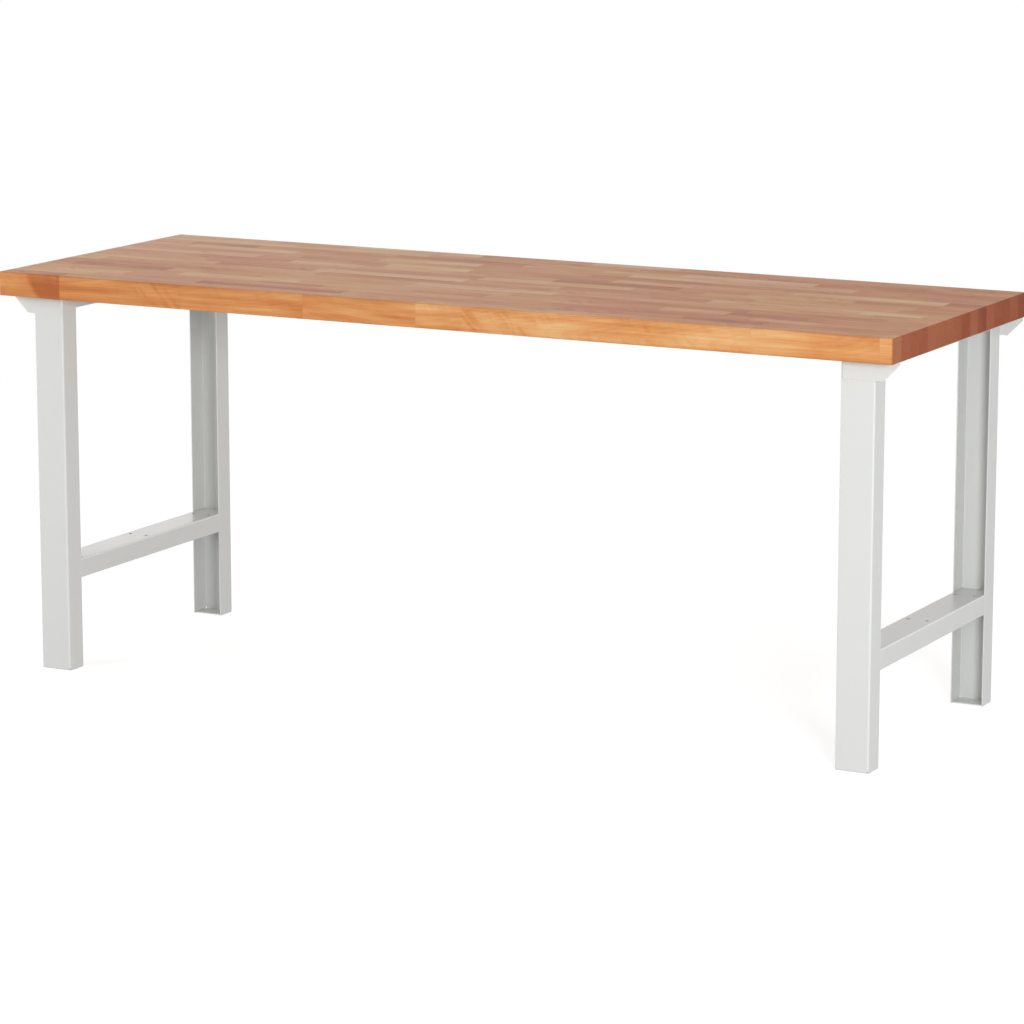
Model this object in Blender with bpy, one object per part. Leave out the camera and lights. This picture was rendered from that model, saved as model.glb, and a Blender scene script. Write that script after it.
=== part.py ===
"""Workbench: a glued beech worktop, screwed down onto two leg frames of folded and welded sheet steel.

Metres. +X runs along the bench, -Y is its front and +Z is up. The origin is on the floor, under the middle
of the worktop.
"""

import math

import bmesh
import bpy
from mathutils import Matrix

# Worktop
TOP_LENGTH = 2.000
TOP_DEPTH = 0.700
TOP_THICKNESS = 0.050
TOP_ARRIS = 0.0015
BENCH_HEIGHT = 0.850

# Where the frames stand: the worktop passes their outer sides and their front, and is flush with their back
END_OVERHANG = 0.053
FRONT_OVERHANG = 0.048

# Sheet steel and its folds
SHEET = 0.002
INNER_BEND = 0.001
BEND_FACETS = 4
CORNER_RELIEF = 0.002

# Legs: channels with the web outwards, closed at the foot by a flap
LEG_WIDTH = 0.070
LEG_DEPTH = 0.050
FOOT_SETBACK = 0.004

# Lower rails: channels open downwards, with fixing holes for drawer units and shelves
RAIL_TOP = 0.233
RAIL_HEIGHT = 0.040
RAIL_HOLE = 0.009
RAIL_HOLE_SPACING = 0.040
RAIL_HOLE_END = 0.019

# Top bearers: plates with a flange along the inside and a mitred flange at each end
BEARER_SETBACK = 0.005
BEARER_NOSE = 0.016
BEARER_NOSE_EDGE = 0.005
BEARER_END_DROP = 0.040
BEARER_INNER_DROP = 0.030

# Screws that hold the worktop down
SCREW_SHANK = 0.005
SCREW_LENGTH = 0.035
SCREW_POINT = 0.007
SCREW_TIP = 0.001
SCREW_HEAD = 0.011
SCREW_HEAD_RIM = 0.0012
SCREW_HEAD_HEIGHT = 0.0032
SCREW_HEAD_CROWN = 0.008
SCREW_END = 0.060
SCREW_CLEARANCE = 0.001
DRIVE_LOBES = 6
DRIVE_WIDTH = 0.0055
DRIVE_WAIST = 0.0040
DRIVE_DEPTH = 0.0018

# Fits
SEAT_GAP = 0.0003
SEAM_GAP = 0.0007
HOLE_FACETS = 20
SMOOTH_ANGLE = math.radians(35)

# Sizes that follow from the ones above
BEND = INNER_BEND + SHEET
UNDERSIDE = BENCH_HEIGHT - TOP_THICKNESS
FRAME_DEPTH = TOP_DEPTH - FRONT_OVERHANG
FRAME_X = TOP_LENGTH / 2 - END_OVERHANG - LEG_WIDTH / 2
FRAME_Y = FRONT_OVERHANG / 2
CLEAR_DEPTH = FRAME_DEPTH - 2 * (LEG_DEPTH + SEAT_GAP)
BEARER_TOP = UNDERSIDE - SEAT_GAP
BEARER_OUTREACH = END_OVERHANG - BEARER_SETBACK
SCREW_SEAT = BEARER_TOP - SHEET - SEAT_GAP


def clear_scene():
    for obj in list(bpy.data.objects):
        bpy.data.objects.remove(obj)


def material(name, colour, roughness, metallic):
    made = bpy.data.materials.new(name)
    made.use_nodes = True
    shader = made.node_tree.nodes["Principled BSDF"]
    shader.inputs["Base Color"].default_value = (*colour, 1.0)
    shader.inputs["Roughness"].default_value = roughness
    shader.inputs["Metallic"].default_value = metallic
    return made


def arc(centre, start, end):
    """Points round a fold's outside, about a centre, from one angle in degrees to another."""
    points = []
    for step in range(BEND_FACETS + 1):
        angle = math.radians(start + (end - start) * step / BEND_FACETS)
        points.append((centre[0] + BEND * math.cos(angle), centre[1] + BEND * math.sin(angle)))
    return points


def channel_section(width, depth):
    """A channel's outside: a web along the first axis at 0, and flanges that reach depth along the second."""
    half = width / 2
    flat = half - BEND
    right = [(half, depth)] + arc((flat, BEND), 0, -90)
    left = arc((-flat, BEND), -90, -180) + [(-half, depth)]
    return right + left


def strip(first, second):
    """Quads between two rows of points."""
    return [
        (first[i], first[i + 1], second[i + 1], second[i])
        for i in range(len(first) - 1)
    ]


def sheet_skin(name, faces):
    """A hidden object of the outside skin of a folded sheet, thickened inwards to the sheet's thickness."""
    skin = bmesh.new()
    for face in faces:
        skin.faces.new([skin.verts.new(point) for point in face])
    bmesh.ops.remove_doubles(skin, verts=skin.verts, dist=SEAT_GAP / 100)
    bmesh.ops.recalc_face_normals(skin, faces=skin.faces)
    obj = helper(name, skin)
    thicken = obj.modifiers.new("sheet", "SOLIDIFY")
    thicken.thickness = SHEET
    thicken.offset = -1.0
    thicken.use_even_offset = True
    thicken.use_quality_normals = True
    return obj


def helper(name, shape):
    """A hidden object made from a bmesh, to cut with or to take a finished mesh from."""
    mesh = bpy.data.meshes.new(name)
    shape.to_mesh(mesh)
    shape.free()
    obj = bpy.data.objects.new(name, mesh)
    obj.hide_render = True
    obj.display_type = "WIRE"
    bpy.context.scene.collection.objects.link(obj)
    return obj


def drill(obj, diameter, depth, places):
    """Cuts upright round holes of this depth, centred on each place."""
    drills = bmesh.new()
    for place in places:
        bmesh.ops.create_cone(
            drills,
            cap_ends=True,
            segments=HOLE_FACETS,
            radius1=diameter / 2,
            radius2=diameter / 2,
            depth=depth,
            matrix=Matrix.Translation(place),
        )
    cut = obj.modifiers.new("holes", "BOOLEAN")
    cut.operation = "DIFFERENCE"
    cut.solver = "EXACT"
    cut.object = helper(obj.name + "_drills", drills)


def finished_mesh(obj, finish):
    """The helper's shape with its modifiers applied, smooth round the folds, in one material."""
    bpy.context.view_layer.update()
    graph = bpy.context.evaluated_depsgraph_get()
    mesh = bpy.data.meshes.new_from_object(obj.evaluated_get(graph))
    mesh.materials.clear()
    mesh.materials.append(finish)
    mesh.shade_smooth()
    mesh.set_sharp_from_angle(angle=SMOOTH_ANGLE)
    return mesh


def place_piece(name, mesh, parent, location, turn=0.0):
    obj = bpy.data.objects.new(name, mesh)
    bpy.context.scene.collection.objects.link(obj)
    obj.parent = parent
    obj.location = location
    obj.rotation_euler.z = turn
    return obj


def frame_centre(name, x):
    centre = bpy.data.objects.new(name, None)
    bpy.context.scene.collection.objects.link(centre)
    centre.location = (x, FRAME_Y, 0.0)
    return centre


def leg_mesh(finish, inner):
    """A leg on the origin, with its web's outside at y = 0 and its flanges towards +Y.

    The flanges rise to the bearer's plate, the one towards the bench's middle with its fold. Beside that fold
    the web stops below the bearer's end flange, which fills the notch. The flap folds out of the web's foot,
    between two corner reliefs. The bench's middle lies towards +X where inner is 1, and -X where it is -1.
    """
    section = [(inner * x, y) for x, y in channel_section(LEG_WIDTH, LEG_DEPTH)]
    flat = LEG_WIDTH / 2 - BEND
    relief_top = BEND + CORNER_RELIEF
    notch = BEARER_TOP - BEARER_END_DROP - SEAT_GAP
    top = BEARER_TOP - SHEET - SEAT_GAP
    rows = [[(x, y, z) for x, y in section] for z in (0.0, relief_top, notch, top)]
    foot = [(0.0, relief_top)] + arc((BEND, BEND), 180, 270) + [(LEG_DEPTH - FOOT_SETBACK, 0.0)]
    flange = 2
    flange_and_fold = flange + BEND_FACETS
    faces = strip(rows[1], rows[2])
    for lower, upper, inner_points in ((rows[0], rows[1], flange), (rows[2], rows[3], flange_and_fold)):
        faces += strip(lower[:inner_points], upper[:inner_points])
        faces += strip(lower[-flange:], upper[-flange:])
    faces += strip([(-flat, y, z) for y, z in foot], [(flat, y, z) for y, z in foot])
    return finished_mesh(sheet_skin("leg_skin", faces), finish)


def rail_hole_places():
    end = CLEAR_DEPTH / 2 - RAIL_HOLE_END
    return [(side * RAIL_HOLE_SPACING / 2, y, 0.0) for y in (-end, 0.0, end) for side in (-1, 1)]


def rail_mesh(finish):
    """A rail along Y, with its top at z = 0. A tongue of its top runs into each leg, as far as the web."""
    section = [(x, -down) for x, down in channel_section(LEG_WIDTH, RAIL_HEIGHT)]
    flat = LEG_WIDTH / 2 - BEND
    flange_end = CLEAR_DEPTH / 2
    tongue_end = FRAME_DEPTH / 2 - SHEET - SEAT_GAP
    faces = strip(*[[(x, y, z) for x, z in section] for y in (-flange_end, flange_end)])
    for side in (-1, 1):
        faces += strip(*[[(-flat, side * y, 0.0), (flat, side * y, 0.0)] for y in (flange_end, tongue_end)])
    rail = sheet_skin("rail_skin", faces)
    drill(rail, RAIL_HOLE, 4 * SHEET, rail_hole_places())
    return finished_mesh(rail, finish)


def screw_places():
    """Where the screws pass a bearer: three in the strip outside the legs and three between the legs."""
    outer_x = (LEG_WIDTH + BEARER_OUTREACH) / 2
    outer_y = FRAME_DEPTH / 2 - SCREW_END
    inner_y = CLEAR_DEPTH / 2 - SCREW_END
    outer = [(outer_x, step * outer_y, 0.0) for step in (-1, 0, 1)]
    inner = [(0.0, step * inner_y, 0.0) for step in (-1, 0, 1)]
    return outer + inner


def bearer_mesh(finish):
    """A bearer with its top at z = 0, +X outwards and x = 0 over the middle of the legs.

    Its end flanges run from the legs' inner folds outwards, past the legs' outer sides.
    """
    inner = -LEG_WIDTH / 2 + SEAM_GAP
    fold = inner + BEND
    nose = LEG_WIDTH / 2 + BEARER_NOSE
    outer = LEG_WIDTH / 2 + BEARER_OUTREACH
    flange_end = CLEAR_DEPTH / 2
    over_leg = flange_end + CORNER_RELIEF
    end_fold = FRAME_DEPTH / 2 - BEND

    rows = (-end_fold, -over_leg, -flange_end, flange_end, over_leg, end_fold)
    plate = [[(x, y, 0.0) for y in rows] for x in (fold, nose, outer)]
    faces = strip(plate[0], plate[1]) + strip(plate[1], plate[2])
    edge = [(inner, y, 0.0) for y in rows]
    faces += strip(edge[:2], plate[0][:2]) + strip(edge[-2:], plate[0][-2:])

    down = [(x, z) for x, z in arc((fold, -BEND), 90, 180)] + [(inner, -BEARER_INNER_DROP)]
    faces += strip(*[[(x, y, z) for x, z in down] for y in (-flange_end, flange_end)])

    nose_top = -BEND - BEARER_NOSE_EDGE
    for side in (-1, 1):
        end = [(side * y, z) for y, z in arc((end_fold, -BEND), 90, 0)]
        end += [(side * FRAME_DEPTH / 2, nose_top)]
        columns = [[(x, y, z) for y, z in end] for x in (fold, nose, outer)]
        for first, second in zip(columns, columns[1:]):
            faces += strip(first, second)
        lower = [(x, side * FRAME_DEPTH / 2, -BEARER_END_DROP) for x in (fold, nose)]
        faces += strip(lower, [column[-1] for column in columns[:2]])
        faces += [(lower[1], columns[1][-1], columns[2][-1])]

    bearer = sheet_skin("bearer_skin", faces)
    drill(bearer, SCREW_SHANK + SCREW_CLEARANCE, 4 * SHEET, screw_places())
    return finished_mesh(bearer, finish)


def screw_mesh(finish):
    """A pan-head wood screw, point up, with z = 0 under its head and a lobed recess in the head.

    Each ring is a height and the diameters through its even and its odd points.
    """
    rings = [
        (SCREW_LENGTH, SCREW_TIP, SCREW_TIP),
        (SCREW_LENGTH - SCREW_POINT, SCREW_SHANK, SCREW_SHANK),
        (0.0, SCREW_SHANK, SCREW_SHANK),
        (0.0, SCREW_HEAD, SCREW_HEAD),
        (-SCREW_HEAD_RIM, SCREW_HEAD, SCREW_HEAD),
        (-SCREW_HEAD_HEIGHT, SCREW_HEAD_CROWN, SCREW_HEAD_CROWN),
        (-SCREW_HEAD_HEIGHT, DRIVE_WIDTH, DRIVE_WAIST),
        (-SCREW_HEAD_HEIGHT + DRIVE_DEPTH, DRIVE_WIDTH, DRIVE_WAIST),
    ]
    points = 2 * DRIVE_LOBES
    shape = bmesh.new()
    loops = []
    for z, even, odd in rings:
        loop = []
        for index in range(points):
            angle = 2 * math.pi * index / points
            radius = (odd if index % 2 else even) / 2
            loop.append(shape.verts.new((radius * math.cos(angle), radius * math.sin(angle), z)))
        loops.append(loop)
    for upper, lower in zip(loops, loops[1:]):
        for index in range(points):
            after = (index + 1) % points
            shape.faces.new((upper[index], lower[index], lower[after], upper[after]))
    shape.faces.new(loops[0])
    shape.faces.new(loops[-1])
    bmesh.ops.recalc_face_normals(shape, faces=shape.faces)
    return finished_mesh(helper("screw_shape", shape), finish)


def worktop_mesh(finish):
    """The board with its underside at z = 0, eased along its edges and with a pilot hole for each screw."""
    board = bmesh.new()
    bmesh.ops.create_cube(board, size=1.0)
    bmesh.ops.translate(board, verts=board.verts, vec=(0.0, 0.0, 0.5))
    bmesh.ops.scale(board, verts=board.verts, vec=(TOP_LENGTH, TOP_DEPTH, TOP_THICKNESS))
    bmesh.ops.bevel(
        board,
        geom=board.edges,
        offset=TOP_ARRIS,
        segments=2,
        profile=0.5,
        affect="EDGES",
    )
    top = helper("worktop_board", board)
    reach = SCREW_SEAT + SCREW_LENGTH + SEAT_GAP - UNDERSIDE
    pilots = [
        (side * (FRAME_X + x), FRAME_Y + side * y, 0.0)
        for side in (-1, 1)
        for x, y, _ in screw_places()
    ]
    drill(top, SCREW_SHANK + 2 * SEAT_GAP, 2 * reach, pilots)
    return finished_mesh(top, finish)


def build_frame(side_name, side, meshes):
    """One end of the bench: two legs, a rail, a bearer and its screws. The side is -1 on the left."""
    centre = frame_centre(side_name + "_frame", side * FRAME_X)
    outward = 0.0 if side > 0 else math.pi
    for row_name, row, turn in (("front", -1, 0.0), ("rear", 1, math.pi)):
        name = f"{side_name}_{row_name}_leg"
        leg = meshes["leg"][side * row]
        place_piece(name, leg, centre, (0.0, row * FRAME_DEPTH / 2, 0.0), turn)
    place_piece(side_name + "_lower_rail", meshes["rail"], centre, (0.0, 0.0, RAIL_TOP))
    place_piece(side_name + "_top_bearer", meshes["bearer"], centre, (0.0, 0.0, BEARER_TOP), outward)
    for number, (x, y, _) in enumerate(screw_places(), start=1):
        name = f"{side_name}_top_screw_{number}"
        place_piece(name, meshes["screw"], centre, (side * x, side * y, SCREW_SEAT))


def main():
    clear_scene()
    beech = material("oiled_beech", (0.52, 0.26, 0.12), 0.45, 0.0)
    paint = material("grey_powder_coat", (0.66, 0.67, 0.65), 0.38, 0.0)
    zinc = material("zinc_plated_steel", (0.62, 0.62, 0.60), 0.32, 1.0)
    meshes = {
        "leg": {inner: leg_mesh(paint, inner) for inner in (-1, 1)},
        "rail": rail_mesh(paint),
        "bearer": bearer_mesh(paint),
        "screw": screw_mesh(zinc),
    }
    place_piece("worktop", worktop_mesh(beech), None, (0.0, 0.0, UNDERSIDE))
    build_frame("left", -1, meshes)
    build_frame("right", 1, meshes)


main()
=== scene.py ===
"""Looks of a workbench: a stave-glued beech top on two end frames of folded, powder-coated sheet steel."""

import math
import random

import bmesh
import bpy
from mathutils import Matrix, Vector


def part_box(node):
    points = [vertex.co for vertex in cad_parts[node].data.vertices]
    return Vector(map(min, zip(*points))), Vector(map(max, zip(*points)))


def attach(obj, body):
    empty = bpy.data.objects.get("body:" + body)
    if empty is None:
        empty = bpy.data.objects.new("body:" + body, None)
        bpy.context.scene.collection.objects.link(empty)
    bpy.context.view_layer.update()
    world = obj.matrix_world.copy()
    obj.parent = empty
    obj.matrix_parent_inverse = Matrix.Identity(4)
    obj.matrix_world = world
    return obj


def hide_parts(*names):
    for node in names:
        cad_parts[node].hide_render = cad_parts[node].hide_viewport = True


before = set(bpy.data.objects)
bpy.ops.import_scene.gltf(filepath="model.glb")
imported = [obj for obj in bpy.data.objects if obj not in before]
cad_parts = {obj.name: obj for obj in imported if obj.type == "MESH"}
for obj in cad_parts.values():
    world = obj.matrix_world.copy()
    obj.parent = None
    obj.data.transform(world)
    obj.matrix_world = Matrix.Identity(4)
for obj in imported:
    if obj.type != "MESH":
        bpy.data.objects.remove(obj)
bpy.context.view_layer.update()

# Camera, about where the photograph's stood: metres, degrees, and millimetres for the lens and sensor
CAMERA_PLACE = (3.751, -7.108, 1.956)
CAMERA_AZIMUTH = 27.69
CAMERA_DOWN = 11.16
CAMERA_LENS = 139.47
CAMERA_SENSOR = 36.0

# Light: the sky's levels, and soft boxes in metres, degrees and watts. An azimuth turns from the front to
# the right. The boxes that light the bench stay out of its gloss, and the last one only shows there
SKY_HORIZON = 0.74
SKY_ZENITH = 0.33
WHITE_LEVEL = 1.0
SOFT_BOXES = (
    {"azimuth": 41.5, "reach": 6.0, "height": 1.7, "size": (1.4, 1.0), "power": 202.0, "unseen": "glossy"},
    {"azimuth": -45.0, "reach": 3.9, "height": 1.6, "size": (1.8, 1.2), "power": 34.0, "unseen": "glossy"},
    {"azimuth": 215.0, "reach": 14.0, "height": 1.2, "size": (4.0, 2.4), "power": 500.0, "unseen": "glossy"},
    {"azimuth": 220.0, "reach": 9.0, "height": 2.0, "size": (5.0, 2.4), "power": 20.0, "unseen": "diffuse"},
)
BOX_AIM = (0.0, 0.0, 0.5)

# Floor: its colours for bounced light and to the eye. A glow lifts it near the bench, where it keeps a soft
# shadow, and it fades to plain white further out
FLOOR_RADIUS = 45.0
FLOOR_SIDES = 96
FLOOR_DROP = 0.0005
FLOOR_BOUNCE = (0.60, 0.60, 0.60, 1.0)
FLOOR_SEEN = (0.60, 0.60, 0.60, 1.0)
FLOOR_GLOW = 0.68
FLOOR_NEAR = 1.6
FLOOR_FAR = 4.5

# Staves of the top, in rows of equal width: their lengths along X, the least length at a row's end, and how
# far past the board an outer stave's side is set, so that no glue line shows there
STAVE_ROWS = 16
STAVE_SHORT = 0.13
STAVE_LONG = 0.36
STAVE_END_LEAST = 0.05
STAVE_PAST = 0.1
STAVE_SEED = 11
BOARD_ARRIS = 0.0015
BOARD_ARRIS_STEPS = 3

# Looks of the drawn staves: the tone's mean, spread and limits, how far the log's pith lies from the middle
# of the stave and how much it slopes, one in how many has a red heart, and the span where their noise starts
TONE_MEAN = 0.54
TONE_SPREAD = 0.17
TONE_LOWEST = 0.12
TONE_HIGHEST = 0.88
PITH_NEAR = 0.03
PITH_FAR = 0.11
PITH_SLOPE = 0.03
HEART_ODDS = 6
PHASE_SPAN = 40.0

# Front row, left to right: the butt joints, what its staves share, and each one's tone, its log's pith from
# the middle of the stave, the pith's slope along X, where its noise starts and, on one, the radius of the
# log's red heart
FRONT_JOINTS = (-0.851, -0.268, -0.011, 0.712, 0.974)
FRONT_SHARED = {"warmth": 0.0, "heart": 0.0}
FRONT_STAVES = (
    {"tone": 0.37, "pith": (-0.197, 0.030), "slope": (0.50, 0.00), "phase": 0.0, "heart": 0.150},
    {"tone": 0.41, "pith": (0.040, 0.034), "slope": (0.05, 0.02), "phase": 9.0},
    {"tone": 0.53, "pith": (0.030, -0.050), "slope": (0.03, -0.11), "phase": 3.0},
    {"tone": 0.62, "pith": (0.048, -0.020), "slope": (-0.06, 0.04), "phase": 15.0},
    {"tone": 0.50, "pith": (0.060, 0.030), "slope": (0.05, -0.02), "phase": 19.5},
    {"tone": 0.64, "pith": (0.030, 0.060), "slope": (0.20, 0.20), "phase": 7.5},
)

# Tones of the staves at the right-hand end, from the second row to the back
END_TONES = (0.50, 0.46, 0.44, 0.54, 0.52, 0.50, 0.48, 0.36, 0.52, 0.34, 0.50, 0.40, 0.38, 0.46, 0.30)

# What each face of the board says of its stave, in vectors that the wood's material reads
STAVE_LAYERS = {
    "stave_low": ("x_low", "y_low", "tone"),
    "stave_high": ("x_high", "y_high", "warmth"),
    "stave_pith": ("pith_y", "pith_z", "heart"),
    "stave_slope": ("slope_y", "slope_z", "phase"),
}

# Beech: growth rings in metres, and red flames that lean over along the grain. Noise lies about its middle
NOISE_MIDDLE = 0.5
RING_WIDTH = 0.0032
RING_WANDER = 0.018
LATE_WOOD_POWER = 3.0
SEASON_WAVES = 0.4
FLAME_SLANT = (0.0, 0.9, 0.7)
FLAME_WAVES = (30.0, 14.0, 14.0)
FLAME_DISTORTION = 1.2
FLAME_LEAST = 0.18
FINE_DETAIL = 3.0

# Waves of the beech's noise to the metre, along the grain and across it
BEECH_WAVES = {
    "wander": (3.0, 14.0),
    "patch": (6.0, 10.0),
    "cloud": (5.0, 24.0),
    "streak": (2.5, 55.0),
    "grain": (4.0, 170.0),
    "fibre": (9.0, 420.0),
    "fleck": (260.0, 1300.0),
}

# Where each part of the beech's figure starts to show, and where it shows in full
BEECH_FADES = {
    "red_heart": (-0.005, 0.004),
    "along": (0.50, 0.20),
    "flame": (-0.08, 0.24),
    "patch": (0.02, 0.16),
    "fleck": (0.34, 0.16),
    "glue": (0.0003, 0.0001),
    "worn": (0.0030, 0.0005),
    "end_grain": (0.5, 0.9),
    "under": (-0.5, -0.9),
}

# How much each part counts in the rings, in the tone, in the reach of the wear in metres, in the roughness
# and in the height of the bump
RING_SHARES = {"season": 0.45, "late": -0.08}
TONE_SHARES = {
    "cloud": 0.80,
    "streak": 0.45,
    "grain": 0.45,
    "fibre": 0.35,
    "flame": -0.24,
    "red_heart": -0.34,
}
WEAR_SHARES = {"streak": 0.004, "fibre": 0.003}
BEECH_ROUGH_SHARES = {"fibre": 0.10, "streak": 0.06, "end_grain": 0.20, "under": 0.16, "worn": -0.06}
BEECH_HEIGHT_SHARES = {"fibre": 0.5, "late": 0.25, "fleck": -0.35, "glue": -0.6}

# Finish of the beech: on end grain the figure is calmer and the tones lie further from the middle one
TONE_MIDDLE = 0.5
END_CALM = 0.6
END_CONTRAST = 0.9
BEECH_ROUGHNESS = 0.50
BEECH_IOR = 1.40
BEECH_STOPS = (
    (0.00, (0.385, 0.105, 0.026)),
    (0.25, (0.515, 0.178, 0.049)),
    (0.50, (0.612, 0.264, 0.088)),
    (0.75, (0.685, 0.370, 0.151)),
    (1.00, (0.755, 0.490, 0.252)),
)

# Colours that lie over the wood's own, in this order
BEECH_TINTS = (
    {"where": "warmth", "strength": 1.0, "colour": (1.00, 0.93, 1.14, 1.0), "mode": "MULTIPLY"},
    {"where": "fleck", "strength": 0.20, "colour": (0.34, 0.12, 0.045, 1.0), "mode": "MIX"},
    {"where": "glue", "strength": 0.20, "colour": (0.20, 0.08, 0.035, 1.0), "mode": "MIX"},
    {"where": "under", "strength": 0.5, "colour": (0.68, 0.45, 0.27, 1.0), "mode": "MIX"},
    {"where": "end_grain", "strength": 1.0, "colour": (0.56, 0.365, 0.375, 1.0), "mode": "MULTIPLY"},
    {"where": "worn", "strength": 0.6, "colour": (0.80, 0.72, 0.66, 1.0), "mode": "MULTIPLY"},
)

# Powder coat: its colours, how far a cut edge shows, and its noise in waves to the metre and detail. Fades
# and shares are as on the beech
PAINT = (0.645, 0.655, 0.640)
# The fold and cut-edge colours are painted highlights, and the hole colour is painted shade
PAINT_LEG_FOLD_HIGHLIGHT = (0.72, 0.73, 0.72, 1.0)
PAINT_RAIL_FOLD_HIGHLIGHT = (0.86, 0.87, 0.86, 1.0)
PAINT_EDGE_HIGHLIGHT = (0.84, 0.85, 0.84, 1.0)
PAINT_HOLE_SHADE = (0.20, 0.20, 0.20, 1.0)
EDGE_REACH = 0.0012
EDGE_SAMPLES = 6
PAINT_NOISES = {"peel": (520.0, 1.0), "grit": (2400.0, 1.0), "cloud": (5.0, 3.0)}
PAINT_FADES = {"outside": (0.0, 0.01), "level": (0.10, 0.40), "upright": (0.06, 0.24), "edge": (0.99, 0.80)}
PAINT_SHADE_SHARES = {"cloud": 0.035, "grit": 0.03}
PAINT_ROUGH_SHARES = {"cloud": 0.08, "grit": 0.05, "edge": -0.05}
PAINT_HEIGHT_SHARES = {"peel": 0.8, "grit": 0.2}
PAINT_ROUGHNESS = 0.44
PAINT_IOR = 1.5
PAINT_COAT = 0.45
PAINT_COAT_ROUGHNESS = 0.11

# Zinc plating, with its noise in waves to the metre and detail
ZINC = (0.62, 0.62, 0.60)
ZINC_NOISES = {"cloud": (260.0, 3.0), "grit": (3000.0, 2.0)}
ZINC_SHADE_SHARES = {"cloud": 0.22, "grit": 0.10}
ZINC_ROUGH_SHARES = {"cloud": 0.20, "grit": 0.10}
ZINC_ROUGHNESS = 0.34

# Bumps: the height that they lie about, and each one's strength and depth in metres
BUMP_MIDDLE = 0.5
BEECH_BUMP = (0.25, 0.0004)
PAINT_BUMP = (0.06, 0.0003)
ZINC_BUMP = (0.10, 0.0001)

# Shading of the CAD nodes' facets
MERGE_DISTANCE = 0.00001
FACET_ANGLE = math.radians(25.0)
FACET_SPREAD = math.radians(10.0)

LEG_NODES = [name for name in sorted(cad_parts) if name.endswith("_leg")]
DRILLED_NODES = [name for name in sorted(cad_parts) if name.endswith(("_rail", "_bearer"))]
SCREW_NODES = [name for name in sorted(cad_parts) if "_top_screw_" in name]


class Graph:
    """The nodes of a material or of the sky, with short ways to add and join them."""

    def __init__(self, tree):
        self.nodes = tree.nodes
        self.links = tree.links

    def feed(self, socket, value):
        """Links a socket to a node's output, or sets its value."""
        if isinstance(value, bpy.types.NodeSocket):
            self.links.new(value, socket)
        else:
            socket.default_value = value

    def node(self, kind, inputs=None, **settings):
        """Adds a shader node, and gives it its settings and what its inputs get."""
        made = self.nodes.new("ShaderNode" + kind)
        for name, value in settings.items():
            setattr(made, name, value)
        for key, value in (inputs or {}).items():
            self.feed(made.inputs[key], value)
        return made

    def math(self, operation, *values):
        made = self.node("Math", operation=operation)
        for socket, value in zip(made.inputs, values):
            self.feed(socket, value)
        return made.outputs[0]

    def vector(self, operation, *values):
        made = self.node("VectorMath", operation=operation)
        for socket, value in zip(made.inputs, values):
            self.feed(socket, value)
        return made.outputs["Value" if operation in ("LENGTH", "DOT_PRODUCT") else "Vector"]

    def parts(self, vector):
        return self.node("SeparateXYZ", {0: vector}).outputs[:]

    def joined(self, x, y, z):
        return self.node("CombineXYZ", {0: x, 1: y, 2: z}).outputs[0]

    def attribute(self, name):
        return self.node("Attribute", attribute_name=name).outputs["Vector"]

    def noise(self, place, scale=1.0, detail=2.0, distortion=0.0):
        """Noise about 0, from -0.5 to 0.5."""
        inputs = {"Vector": place, "Scale": scale, "Detail": detail, "Distortion": distortion}
        made = self.node("TexNoise", inputs)
        return self.math("SUBTRACT", made.outputs["Fac"], NOISE_MIDDLE)

    def drift(self, place):
        """Three noises about 0, as a vector."""
        made = self.node("TexNoise", {"Vector": place, "Scale": 1.0, "Detail": 2.0})
        return self.vector("SUBTRACT", made.outputs["Color"], (NOISE_MIDDLE,) * 3)

    def noises(self, place, table):
        """Noise about 0 for each name in a table of scales and details."""
        return {name: self.noise(place, *settings) for name, settings in table.items()}

    def fade(self, value, low, high):
        """0 where value is at low, 1 where it is at high."""
        inputs = {"Value": value, "From Min": low, "From Max": high}
        return self.node("MapRange", inputs, interpolation_type="SMOOTHSTEP").outputs[0]

    def total(self, start, shares, figures):
        """start plus each named figure times its share."""
        for name, share in shares.items():
            start = self.math("MULTIPLY_ADD", figures[name], share, start)
        return start

    def shaded(self, colour, shade):
        """A colour times one number."""
        return self.vector("MULTIPLY", self.joined(shade, shade, shade), colour)

    def blend(self, share, under, over, mode="MIX"):
        """One colour over another. A Mix node has its colours after the inputs of its other types."""
        made = self.node("Mix", data_type="RGBA", blend_type=mode)
        self.feed(made.inputs[0], share)
        self.feed(made.inputs[6], under)
        self.feed(made.inputs[7], over)
        return made.outputs[2]

    def ramp(self, value, stops):
        made = self.node("ValToRGB", {"Fac": value})
        elements = made.color_ramp.elements
        for element, (place, colour) in zip(elements, (stops[0], stops[-1])):
            element.position = place
            element.color = (*colour, 1.0)
        for place, colour in stops[1:-1]:
            elements.new(place).color = (*colour, 1.0)
        return made.outputs["Color"]

    def bump(self, height, strength, distance):
        inputs = {"Height": height, "Strength": strength, "Distance": distance}
        return self.node("Bump", inputs).outputs[0]


def new_material(name):
    """A material, its graph and its shader."""
    material = bpy.data.materials.new(name)
    material.use_nodes = True
    return material, Graph(material.node_tree), material.node_tree.nodes["Principled BSDF"]


def stave_values(wood):
    """What the board's faces say of their stave, by name."""
    values = {}
    for layer, names in STAVE_LAYERS.items():
        values.update(zip(names, wood.parts(wood.attribute(layer))))
    return values


def stretched(wood, own, figure):
    """A stave's own place, counted in waves of a figure's noise."""
    along, across = BEECH_WAVES[figure]
    return wood.vector("MULTIPLY", own, (along, across, across))


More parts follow.
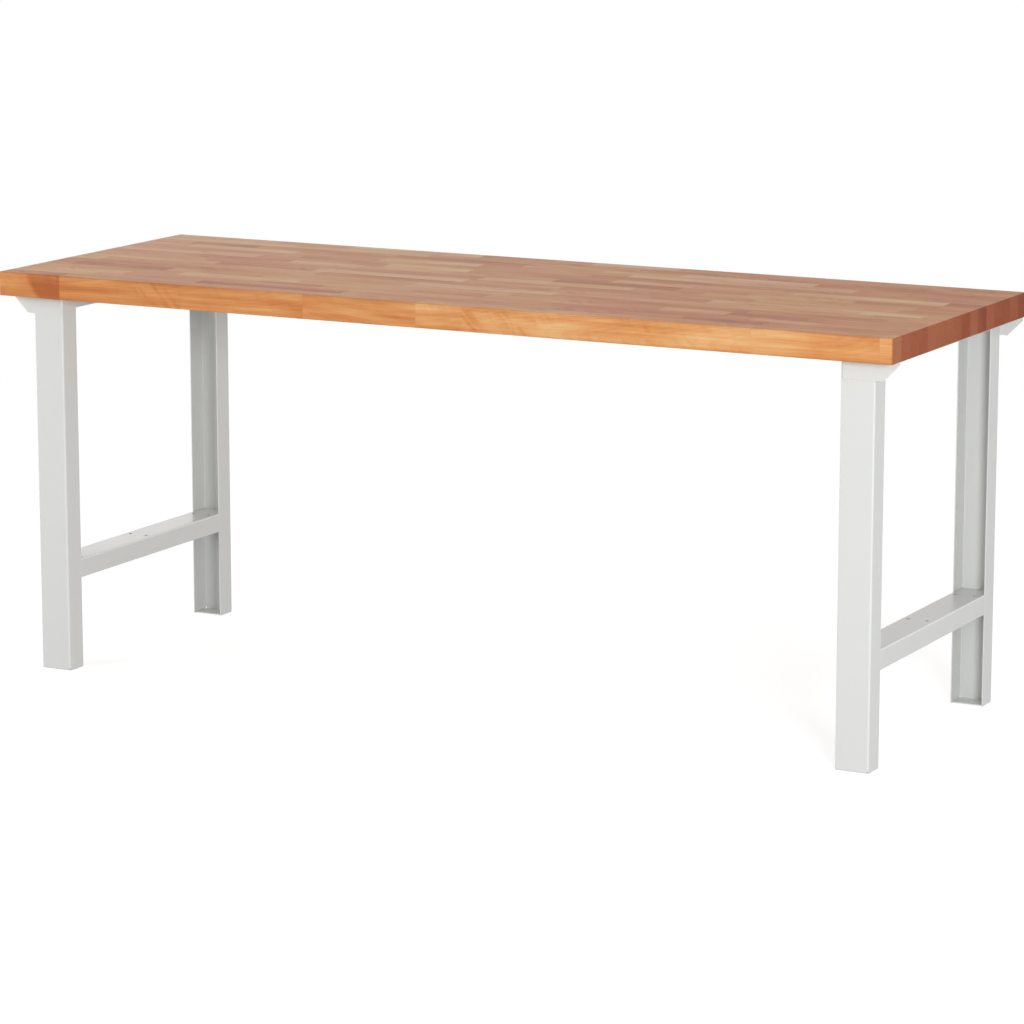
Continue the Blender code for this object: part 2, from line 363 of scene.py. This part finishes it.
def growth_rings(wood, place, own, stave):
    """Rings round the log's pith, which runs at a slope to the stave, and the red heart inside them.

    Rings show where the grain runs along the face, which is where the slope is small.
    """
    x, y, z = wood.parts(place)
    wander = wood.drift(stretched(wood, own, "wander"))
    wander = wood.parts(wood.vector("MULTIPLY", wander, (0.0, RING_WANDER, RING_WANDER)))[1:]
    from_pith = []
    for axis, point, offset in zip("yz", (y, z), wander):
        pith = wood.math("MULTIPLY_ADD", x, stave["slope_" + axis], stave["pith_" + axis])
        from_pith.append(wood.math("SUBTRACT", wood.math("ADD", point, offset), pith))
    radius = wood.vector("LENGTH", wood.joined(0.0, *from_pith))
    rings = wood.math("DIVIDE", radius, RING_WIDTH)
    seasons = wood.joined(wood.math("MULTIPLY", rings, SEASON_WAVES), stave["phase"], 0.0)
    slopes = [wood.math("ABSOLUTE", stave["slope_" + axis]) for axis in "yz"]
    return {
        "late": wood.math("POWER", wood.math("FRACT", rings), LATE_WOOD_POWER),
        "season": wood.noise(seasons, detail=FINE_DETAIL),
        "red_heart": wood.fade(wood.math("SUBTRACT", stave["heart"], radius), *BEECH_FADES["red_heart"]),
        "along": wood.fade(wood.math("ADD", *slopes), *BEECH_FADES["along"]),
    }


def red_flames(wood, own):
    """Red flames that cross the grain at a slant, in patches."""
    lean = wood.vector("DOT_PRODUCT", own, FLAME_SLANT)
    slanted = wood.vector("ADD", own, wood.joined(lean, 0.0, 0.0))
    strokes = wood.noise(wood.vector("MULTIPLY", slanted, FLAME_WAVES), distortion=FLAME_DISTORTION)
    patch = wood.fade(wood.noise(stretched(wood, own, "patch")), *BEECH_FADES["patch"])
    strength = wood.math("MULTIPLY_ADD", patch, 1.0 - FLAME_LEAST, FLAME_LEAST)
    return wood.math("MULTIPLY", wood.fade(strokes, *BEECH_FADES["flame"]), strength)


def glue_lines(wood, place, stave):
    """Thin lines where a stave meets the next one."""
    gaps = []
    for axis, point in zip("xy", wood.parts(place)):
        from_low = wood.math("SUBTRACT", point, stave[axis + "_low"])
        from_high = wood.math("SUBTRACT", stave[axis + "_high"], point)
        gaps.append(wood.math("MINIMUM", from_low, from_high))
    return wood.fade(wood.math("MINIMUM", *gaps), *BEECH_FADES["glue"])


def worn_arrises(wood, place, low, high, figures):
    """Wear along the board's arrises, where the face next nearest to a point on a face is near too."""
    from_middle = wood.vector("ABSOLUTE", wood.vector("SUBTRACT", place, (low + high) / 2))
    a, b, c = wood.parts(wood.vector("SUBTRACT", (high - low) / 2, from_middle))
    second = wood.math(
        "MAXIMUM",
        wood.math("MINIMUM", a, b),
        wood.math("MINIMUM", wood.math("MAXIMUM", a, b), c),
    )
    return wood.fade(wood.total(second, WEAR_SHARES, figures), *BEECH_FADES["worn"])


def beech_figures(wood, stave, low, high):
    """What shows on the wood of a board with these corners, by name."""
    place = wood.node("TexCoord").outputs["Object"]

    # Each stave is cut from another log, so its noise starts elsewhere
    own = wood.vector("ADD", place, wood.joined(stave["phase"], stave["phase"], stave["phase"]))
    figures = growth_rings(wood, place, own, stave)
    figures["flame"] = red_flames(wood, own)
    for name in ("cloud", "streak", "grain"):
        figures[name] = wood.noise(stretched(wood, own, name))
    figures["fibre"] = wood.noise(stretched(wood, own, "fibre"), detail=FINE_DETAIL)
    cells = wood.node("TexVoronoi", {"Vector": stretched(wood, own, "fleck")})
    figures["fleck"] = wood.fade(cells.outputs["Distance"], *BEECH_FADES["fleck"])
    figures["glue"] = glue_lines(wood, place, stave)
    figures["worn"] = worn_arrises(wood, place, low, high, figures)
    figures["warmth"] = stave["warmth"]

    # The ends drink more oil, and the underside gets one thin coat of it
    normal_x, _, normal_z = wood.parts(wood.node("NewGeometry").outputs["Normal"])
    figures["end_grain"] = wood.fade(wood.math("ABSOLUTE", normal_x), *BEECH_FADES["end_grain"])
    figures["under"] = wood.fade(normal_z, *BEECH_FADES["under"])
    return figures


def beech_material(low, high):
    """Oiled beech in staves, for a board with these corners."""
    material, wood, surface = new_material("oiled_beech")
    stave = stave_values(wood)
    figures = beech_figures(wood, stave, low, high)

    rings = wood.math("MULTIPLY", wood.total(0.0, RING_SHARES, figures), figures["along"])
    figure = wood.total(rings, TONE_SHARES, figures)
    calm = wood.math("MULTIPLY_ADD", figures["end_grain"], -END_CALM, 1.0)
    value = wood.math("MULTIPLY_ADD", figure, calm, stave["tone"])
    contrast = wood.math("SUBTRACT", stave["tone"], TONE_MIDDLE)
    contrast = wood.math("MULTIPLY", contrast, figures["end_grain"])
    value = wood.math("MULTIPLY_ADD", contrast, END_CONTRAST, value)
    colour = wood.ramp(value, BEECH_STOPS)
    for tint in BEECH_TINTS:
        share = wood.math("MULTIPLY", figures[tint["where"]], tint["strength"])
        colour = wood.blend(share, colour, tint["colour"], tint["mode"])

    height = wood.total(BUMP_MIDDLE, BEECH_HEIGHT_SHARES, figures)
    wood.feed(surface.inputs["Base Color"], colour)
    wood.feed(surface.inputs["Roughness"], wood.total(BEECH_ROUGHNESS, BEECH_ROUGH_SHARES, figures))
    wood.feed(surface.inputs["Normal"], wood.bump(height, *BEECH_BUMP))
    surface.inputs["IOR"].default_value = BEECH_IOR
    return material


def paint_material(name, drilled):
    """Powder coat on folded sheet.

    Sheet faces lie square to the axes, so a slanting normal marks a fold, the wall of a round hole or the
    cut edge of a mitre. Drilled sheets have no upright folds, so there an upright slanting wall is a hole's,
    which gets painted shade. The outside of a fold gets a painted highlight; it turns away from the bench's
    middle on legs and up on drilled sheets, while a mitre's edge faces down.
    """
    material, paint, surface = new_material(name)
    place = paint.node("TexCoord").outputs["Object"]
    figures = paint.noises(place, PAINT_NOISES)

    normal = paint.node("NewGeometry").outputs["Normal"]
    directions = paint.parts(normal)
    _, normal_y, normal_z = directions
    outward = normal_z if drilled else paint.math("MULTIPLY", paint.parts(place)[1], normal_y)
    outside = paint.fade(outward, *PAINT_FADES["outside"])
    lean_x, lean_y, lean_z = [paint.math("ABSOLUTE", part) for part in directions]
    level = paint.math("MULTIPLY", lean_z, paint.math("ADD", lean_x, lean_y))
    level = paint.fade(level, *PAINT_FADES["level"])
    upright = paint.fade(paint.math("MULTIPLY", lean_x, lean_y), *PAINT_FADES["upright"])
    fold = level if drilled else paint.math("MAXIMUM", level, upright)
    fold_highlight = paint.math("MULTIPLY", fold, outside)

    # Cut edges of the sheet, where the coat is pulled thin and smooth, with a painted highlight along them
    rounded = paint.node("Bevel", {"Radius": EDGE_REACH}, samples=EDGE_SAMPLES).outputs[0]
    figures["edge"] = paint.fade(paint.vector("DOT_PRODUCT", rounded, normal), *PAINT_FADES["edge"])

    colour = paint.shaded(PAINT, paint.total(1.0, PAINT_SHADE_SHARES, figures))
    colour = paint.blend(figures["edge"], colour, PAINT_EDGE_HIGHLIGHT)
    # Painted highlight along the outside of each fold, standing in for the lamp's gloss there
    colour = paint.blend(fold_highlight, colour, PAINT_RAIL_FOLD_HIGHLIGHT if drilled else PAINT_LEG_FOLD_HIGHLIGHT)
    # Painted shade on the walls of the holes in drilled sheets
    if drilled:
        colour = paint.blend(upright, colour, PAINT_HOLE_SHADE)
    height = paint.total(BUMP_MIDDLE, PAINT_HEIGHT_SHARES, figures)
    paint.feed(surface.inputs["Base Color"], colour)
    paint.feed(surface.inputs["Roughness"], paint.total(PAINT_ROUGHNESS, PAINT_ROUGH_SHARES, figures))
    paint.feed(surface.inputs["Normal"], paint.bump(height, *PAINT_BUMP))
    surface.inputs["IOR"].default_value = PAINT_IOR
    surface.inputs["Coat Weight"].default_value = PAINT_COAT
    surface.inputs["Coat Roughness"].default_value = PAINT_COAT_ROUGHNESS
    return material


def zinc_material():
    """Zinc-plated steel, for the screws."""
    material, zinc, surface = new_material("zinc_plated_steel")
    figures = zinc.noises(zinc.node("TexCoord").outputs["Object"], ZINC_NOISES)
    colour = zinc.shaded(ZINC, zinc.total(1.0, ZINC_SHADE_SHARES, figures))
    zinc.feed(surface.inputs["Base Color"], colour)
    zinc.feed(surface.inputs["Roughness"], zinc.total(ZINC_ROUGHNESS, ZINC_ROUGH_SHARES, figures))
    zinc.feed(surface.inputs["Normal"], zinc.bump(figures["grit"], *ZINC_BUMP))
    surface.inputs["Metallic"].default_value = 1.0
    return material


def stave_cuts(low, high, rng):
    """Where each row's butt joints are along X. The front row's are given, the others are drawn."""
    rows = [list(FRONT_JOINTS)]
    while len(rows) < STAVE_ROWS:
        place = low + rng.uniform(STAVE_END_LEAST, STAVE_LONG)
        joints = []
        while place < high - STAVE_END_LEAST:
            joints.append(place)
            place += rng.uniform(STAVE_SHORT, STAVE_LONG)
        rows.append(joints)
    return rows


def stave_looks(row, count, rng):
    """A tone, warmth, pith, slope, heart and phase for each stave of a row."""
    looks = []
    for _ in range(count):
        turn = rng.uniform(0.0, math.tau)
        reach = rng.uniform(PITH_NEAR, PITH_FAR)
        looks.append(
            {
                "tone": min(max(rng.gauss(TONE_MEAN, TONE_SPREAD), TONE_LOWEST), TONE_HIGHEST),
                "warmth": rng.uniform(0.0, 1.0),
                "pith": (reach * math.cos(turn), reach * math.sin(turn)),
                "slope": (rng.uniform(-PITH_SLOPE, PITH_SLOPE), rng.uniform(-PITH_SLOPE, PITH_SLOPE)),
                "heart": rng.choice([0.0] * (HEART_ODDS - 1) + [reach]),
                "phase": rng.uniform(0.0, PHASE_SPAN),
            }
        )
    if row == 0:
        for look, chosen in zip(looks, FRONT_STAVES):
            look.update(FRONT_SHARED | chosen)
    else:
        looks[-1]["tone"] = END_TONES[row - 1]
    return looks


def row_of(face, low, width):
    """The row of staves that a face of the board lies in."""
    return min(int((face.calc_center_median().y - low.y) / width), STAVE_ROWS - 1)


def cut_board(low, high, width, cuts):
    """A closed board with these corners, its faces parted where the staves meet."""
    board = bmesh.new()
    bmesh.ops.create_cube(board, size=1.0)
    middle = (low + high) / 2
    for vert in board.verts:
        vert.co = Vector(a + b * c for a, b, c in zip(middle, vert.co, high - low))
    for row in range(1, STAVE_ROWS):
        geometry = board.verts[:] + board.edges[:] + board.faces[:]
        place = (0.0, low.y + row * width, 0.0)
        bmesh.ops.bisect_plane(board, geom=geometry, plane_co=place, plane_no=(0.0, 1.0, 0.0))
    for row, joints in enumerate(cuts):
        for joint in joints:
            faces = [face for face in board.faces if row_of(face, low, width) == row]
            edges = dict.fromkeys(edge for face in faces for edge in face.edges)
            verts = dict.fromkeys(vert for face in faces for vert in face.verts)
            geometry = [*verts, *edges, *faces]
            place = (joint, 0.0, 0.0)
            bmesh.ops.bisect_plane(board, geom=geometry, plane_co=place, plane_no=(1.0, 0.0, 0.0))
    return board


def mark_staves(board, low, high, width, cuts, staves):
    """Writes on each face of the board where its stave ends and how it looks."""
    layers = {name: board.faces.layers.float_vector.new(name) for name in STAVE_LAYERS}
    for face in board.faces:
        row = row_of(face, low, width)
        index = sum(joint < face.calc_center_median().x for joint in cuts[row])
        ends = [low.x - STAVE_PAST, *cuts[row], high.x + STAVE_PAST][index:index + 2]
        sides = [low.y + row * width, low.y + (row + 1) * width]
        x, y, z = sum(ends) / 2, sum(sides) / 2, (low.z + high.z) / 2
        if row == 0:
            sides[0] -= STAVE_PAST
        if row == STAVE_ROWS - 1:
            sides[1] += STAVE_PAST
        look = staves[row][index]
        values = {name: look[name] for name in ("tone", "warmth", "heart", "phase")}
        values["x_low"], values["x_high"] = ends
        values["y_low"], values["y_high"] = sides
        for axis, centre, pith, slope in zip("yz", (y, z), look["pith"], look["slope"]):
            values["pith_" + axis] = centre + pith - slope * x
            values["slope_" + axis] = slope
        for layer, names in STAVE_LAYERS.items():
            face[layers[layer]] = Vector(values[name] for name in names)


def build_board():
    """The top as one board of staves with eased arrises, in place of the plain one."""
    low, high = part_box("worktop")
    width = (high.y - low.y) / STAVE_ROWS
    rng = random.Random(STAVE_SEED)
    cuts = stave_cuts(low.x, high.x, rng)
    staves = [stave_looks(row, len(joints) + 1, rng) for row, joints in enumerate(cuts)]
    board = cut_board(low, high, width, cuts)
    mark_staves(board, low, high, width, cuts, staves)

    mesh = bpy.data.meshes.new("stave_board")
    board.to_mesh(mesh)
    board.free()
    mesh.materials.append(beech_material(low, high))
    piece = bpy.data.objects.new("stave_board", mesh)
    bpy.context.scene.collection.objects.link(piece)
    arris = piece.modifiers.new("arris", "BEVEL")
    arris.width = BOARD_ARRIS
    arris.segments = BOARD_ARRIS_STEPS
    arris.limit_method = "ANGLE"
    triangles = piece.modifiers.new("triangles", "TRIANGULATE")
    triangles.ngon_method = "BEAUTY"
    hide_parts("worktop")
    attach(piece, "root")


def smooth_folds():
    """Geometry nodes that join a mesh's facets and shade them smooth where they turn as folds do.

    The normals that the mesh came with would win over that shading, so they are taken off.
    """
    group = bpy.data.node_groups.new("smooth_folds", "GeometryNodeTree")
    for way in ("INPUT", "OUTPUT"):
        group.interface.new_socket("Geometry", in_out=way, socket_type="NodeSocketGeometry")
    start = group.nodes.new("NodeGroupInput")
    merge = group.nodes.new("GeometryNodeMergeByDistance")
    merge.inputs["Distance"].default_value = MERGE_DISTANCE
    plain = group.nodes.new("GeometryNodeRemoveAttribute")
    plain.inputs["Name"].default_value = "custom_normal"
    faces = group.nodes.new("GeometryNodeSetShadeSmooth")
    edges = group.nodes.new("GeometryNodeSetShadeSmooth")
    edges.domain = "EDGE"
    edges.inputs["Shade Smooth"].default_value = False
    end = group.nodes.new("NodeGroupOutput")
    chain = [start, merge, plain, faces, edges, end]
    for before, after in zip(chain, chain[1:]):
        group.links.new(before.outputs[0], after.inputs[0])
    angle = group.nodes.new("GeometryNodeInputMeshEdgeAngle")
    sharp = group.nodes.new("FunctionNodeCompare")
    sharp.operation = "NOT_EQUAL"
    sharp.inputs["B"].default_value = FACET_ANGLE
    sharp.inputs["Epsilon"].default_value = FACET_SPREAD
    group.links.new(angle.outputs["Unsigned Angle"], sharp.inputs["A"])
    group.links.new(sharp.outputs["Result"], edges.inputs["Selection"])
    return group


def dress(names, material, folds):
    """Gives CAD nodes a material, and smooth shading round their folds."""
    for name in names:
        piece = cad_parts[name]
        for slot in piece.material_slots:
            slot.material = material
        piece.modifiers.new("folds", "NODES").node_group = folds


def seen_ray(graph):
    """1 for rays that show the background: to the camera, in reflections and through glass."""
    path = graph.node("LightPath").outputs
    glossy = graph.math("MAXIMUM", path["Is Glossy Ray"], path["Is Transmission Ray"])
    return graph.math("MAXIMUM", path["Is Camera Ray"], glossy)


def build_floor():
    """A wide white floor, seen from above only, which keeps a soft shadow."""
    floor = bmesh.new()
    bmesh.ops.create_circle(floor, cap_ends=True, segments=FLOOR_SIDES, radius=FLOOR_RADIUS)
    mesh = bpy.data.meshes.new("floor")
    floor.to_mesh(mesh)
    floor.free()
    piece = bpy.data.objects.new("floor", mesh)
    piece.location.z = -FLOOR_DROP
    bpy.context.scene.collection.objects.link(piece)

    material, graph, surface = new_material("white_floor")
    graph.nodes.remove(surface)
    bounce = graph.node("BsdfDiffuse", {"Color": FLOOR_BOUNCE}).outputs[0]
    seen = graph.node("BsdfDiffuse", {"Color": FLOOR_SEEN}).outputs[0]
    glow = graph.node("Emission", {"Strength": FLOOR_GLOW}).outputs[0]
    near = graph.node("AddShader", {0: seen, 1: glow}).outputs[0]
    white = graph.node("Emission", {"Strength": WHITE_LEVEL}).outputs[0]
    distance = graph.vector("LENGTH", graph.node("TexCoord").outputs["Object"])
    away = graph.fade(distance, FLOOR_NEAR, FLOOR_FAR)
    shown = graph.node("MixShader", {0: away, 1: near, 2: white}).outputs[0]
    upper = graph.node("MixShader", {0: seen_ray(graph), 1: bounce, 2: shown}).outputs[0]
    below = graph.node("BsdfTransparent").outputs[0]
    backing = graph.node("NewGeometry").outputs["Backfacing"]
    whole = graph.node("MixShader", {0: backing, 1: upper, 2: below}).outputs[0]
    graph.feed(graph.nodes["Material Output"].inputs["Surface"], whole)
    mesh.materials.append(material)


def build_light():
    """A plain white sky, dimmer overhead than round the horizon, and the soft boxes."""
    world = bpy.data.worlds.new("studio")
    world.use_nodes = True
    graph = Graph(world.node_tree)
    height = graph.fade(graph.parts(graph.node("TexCoord").outputs["Generated"])[2], 0.0, 1.0)
    sky = graph.math("MULTIPLY_ADD", height, SKY_ZENITH - SKY_HORIZON, SKY_HORIZON)
    unseen = graph.math("SUBTRACT", 1.0, seen_ray(graph))
    level = graph.math("MULTIPLY_ADD", graph.math("SUBTRACT", sky, WHITE_LEVEL), unseen, WHITE_LEVEL)
    background = graph.nodes["Background"]
    background.inputs["Color"].default_value = (1.0, 1.0, 1.0, 1.0)
    graph.feed(background.inputs["Strength"], level)
    bpy.context.scene.world = world

    for settings in SOFT_BOXES:
        lamp = bpy.data.lights.new("soft_box", "AREA")
        lamp.shape = "RECTANGLE"
        lamp.size, lamp.size_y = settings["size"]
        lamp.energy = settings["power"]
        box = bpy.data.objects.new("soft_box", lamp)
        azimuth, reach = math.radians(settings["azimuth"]), settings["reach"]
        box.location = (reach * math.sin(azimuth), -reach * math.cos(azimuth), settings["height"])
        box.rotation_euler = (box.location - Vector(BOX_AIM)).to_track_quat("Z", "Y").to_euler()
        box.visible_camera = False
        setattr(box, "visible_" + settings["unseen"], False)
        bpy.context.scene.collection.objects.link(box)


def build_camera():
    """The camera, level from side to side and turned down to the bench."""
    azimuth, down = math.radians(CAMERA_AZIMUTH), math.radians(CAMERA_DOWN)
    data = bpy.data.cameras.new("camera")
    data.sensor_fit = "HORIZONTAL"
    data.sensor_width = CAMERA_SENSOR
    data.lens = CAMERA_LENS
    camera = bpy.data.objects.new("camera", data)
    camera.location = CAMERA_PLACE
    camera.rotation_euler = (math.pi / 2 - down, 0.0, azimuth)
    bpy.context.scene.collection.objects.link(camera)
    bpy.context.scene.camera = camera


build_camera()
build_light()
build_floor()
build_board()
folds = smooth_folds()
dress(LEG_NODES, paint_material("grey_coat_on_legs", drilled=False), folds)
dress(DRILLED_NODES, paint_material("grey_coat_on_rails", drilled=True), folds)
dress(SCREW_NODES, zinc_material(), folds)
bpy.context.scene.view_settings.view_transform = "Standard"
